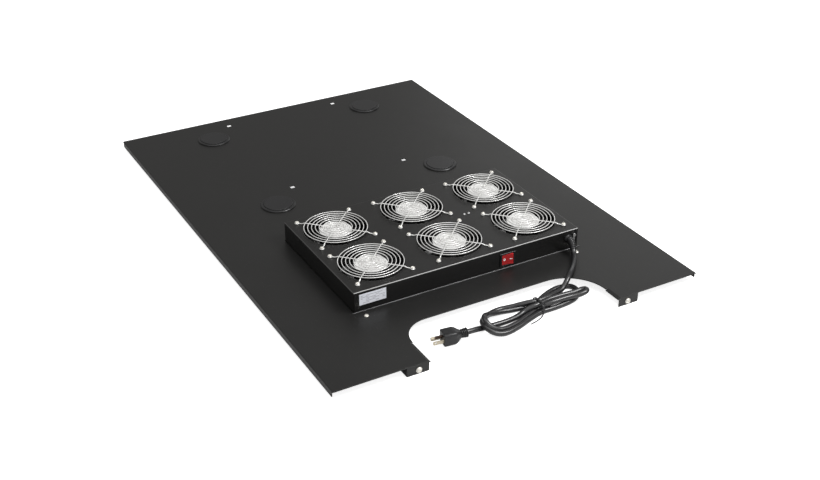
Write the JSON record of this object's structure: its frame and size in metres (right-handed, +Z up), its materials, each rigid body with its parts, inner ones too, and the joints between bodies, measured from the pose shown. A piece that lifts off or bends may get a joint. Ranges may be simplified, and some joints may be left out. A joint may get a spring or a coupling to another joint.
{
  "type": "rack roof panel with fan tray",
  "caption": "Black steel equipment-rack roof panel with a raised exhaust fan tray, chrome finger guards, red rocker switch, cable cut-out and a tied mains lead.",
  "frame": {"origin": "middle of the footprint without the loose lead, at the bottom of the front screw tabs", "axes": "+X right along the edge with the cable cut-out, +Y to the back, +Z up out of the cabinet"},
  "size_m": [0.706, 1.0176, 0.0619],
  "materials": {
    "panel_paint": "black semi-gloss powder coat",
    "housing_paint": "black semi-gloss powder coat",
    "plug_plastic": "black moulded plastic",
    "screw_chrome": "chrome-plated pan head",
    "screw_nickel": "nickel-plated",
    "nut_zinc": "zinc-plated",
    "bearing_steel": "ground steel rings",
    "fan_metal": "die-cast aluminium, black stove enamel",
    "blade_plastic": "black moulded plastic",
    "stator_iron": "varnished lamination stack",
    "shaft_steel": "ground steel",
    "hub_foil": "silver foil label, blank",
    "guard_chrome": "bright chrome-plated wire",
    "switch_plastic": "black moulded plastic",
    "rocker_plastic": "red translucent plastic",
    "gland_rubber": "black soft plastic",
    "clip_steel": "plated",
    "label_foil": "silver-white label, blank",
    "block_plastic": "off-white moulded plastic",
    "rivet_aluminium": "bright",
    "cord_sheath": "black flexible sheath, satin",
    "tie_plastic": "black twist tie",
    "plug_rubber": "black moulded plug",
    "contact_brass": "bare brass"
  },
  "bodies": {
    "roof_unit": {"block_rivets": "rivet_aluminium", "cord_clip": "clip_steel", "cord_gland": "gland_rubber", "cord_hank": "cord_sheath", "cord_tail": "cord_sheath", "cord_tie": "tie_plastic", "fan_bearings": "bearing_steel", "fan_frame_1": "fan_metal", "fan_frame_2": "fan_metal", "fan_frame_3": "fan_metal", "fan_frame_4": "fan_metal", "fan_frame_5": "fan_metal", "fan_frame_6": "fan_metal", "fan_housing": "housing_paint", "fan_hub_label_1": "hub_foil", "fan_hub_label_2": "hub_foil", "fan_hub_label_3": "hub_foil", "fan_hub_label_4": "hub_foil", "fan_hub_label_5": "hub_foil", "fan_hub_label_6": "hub_foil", "fan_stator_1": "stator_iron", "fan_stator_2": "stator_iron", "fan_stator_3": "stator_iron", "fan_stator_4": "stator_iron", "fan_stator_5": "stator_iron", "fan_stator_6": "stator_iron", "finger_guard_1": "guard_chrome", "finger_guard_2": "guard_chrome", "finger_guard_3": "guard_chrome", "finger_guard_4": "guard_chrome", "finger_guard_5": "guard_chrome", "finger_guard_6": "guard_chrome", "guard_nuts": "nut_zinc", "guard_screws": "screw_chrome", "hole_plugs": "plug_plastic", "housing_nuts": "nut_zinc", "housing_screws": "screw_nickel", "panel_screws": "screw_nickel", "plug_body": "plug_rubber", "plug_contacts": "contact_brass", "power_cord": "cord_sheath", "rating_label": "label_foil", "switch_body": "switch_plastic", "terminal_block": "block_plastic", "top_panel": "panel_paint"},
    "rotor_1": {"fan_rotor_1": "blade_plastic", "fan_shaft_1": "shaft_steel"},
    "rotor_2": {"fan_rotor_2": "blade_plastic", "fan_shaft_2": "shaft_steel"},
    "rotor_3": {"fan_rotor_3": "blade_plastic", "fan_shaft_3": "shaft_steel"},
    "rotor_4": {"fan_rotor_4": "blade_plastic", "fan_shaft_4": "shaft_steel"},
    "rotor_5": {"fan_rotor_5": "blade_plastic", "fan_shaft_5": "shaft_steel"},
    "rotor_6": {"fan_rotor_6": "blade_plastic", "fan_shaft_6": "shaft_steel"},
    "rocker": {"switch_rocker": "rocker_plastic"}
  },
  "joints": [
    {"name": "fan_1_spin", "type": "hinge", "parent": "roof_unit", "child": "rotor_1", "pos_m": [-0.1557, -0.2542, 0.042], "axis": [0, 0, 1], "continuous": true},
    {"name": "fan_2_spin", "type": "hinge", "parent": "roof_unit", "child": "rotor_2", "pos_m": [0, -0.2542, 0.042], "axis": [0, 0, 1], "continuous": true},
    {"name": "fan_3_spin", "type": "hinge", "parent": "roof_unit", "child": "rotor_3", "pos_m": [0.1557, -0.2542, 0.042], "axis": [0, 0, 1], "continuous": true},
    {"name": "fan_4_spin", "type": "hinge", "parent": "roof_unit", "child": "rotor_4", "pos_m": [-0.1557, -0.1182, 0.042], "axis": [0, 0, 1], "continuous": true},
    {"name": "fan_5_spin", "type": "hinge", "parent": "roof_unit", "child": "rotor_5", "pos_m": [0, -0.1182, 0.042], "axis": [0, 0, 1], "continuous": true},
    {"name": "fan_6_spin", "type": "hinge", "parent": "roof_unit", "child": "rotor_6", "pos_m": [0.1557, -0.1182, 0.042], "axis": [0, 0, 1], "continuous": true},
    {"name": "switch_rock", "type": "hinge", "parent": "roof_unit", "child": "rocker", "pos_m": [0.075, -0.3248, 0.0357], "axis": [0, 0, 1], "range_deg": [0, 20]}
  ]
}
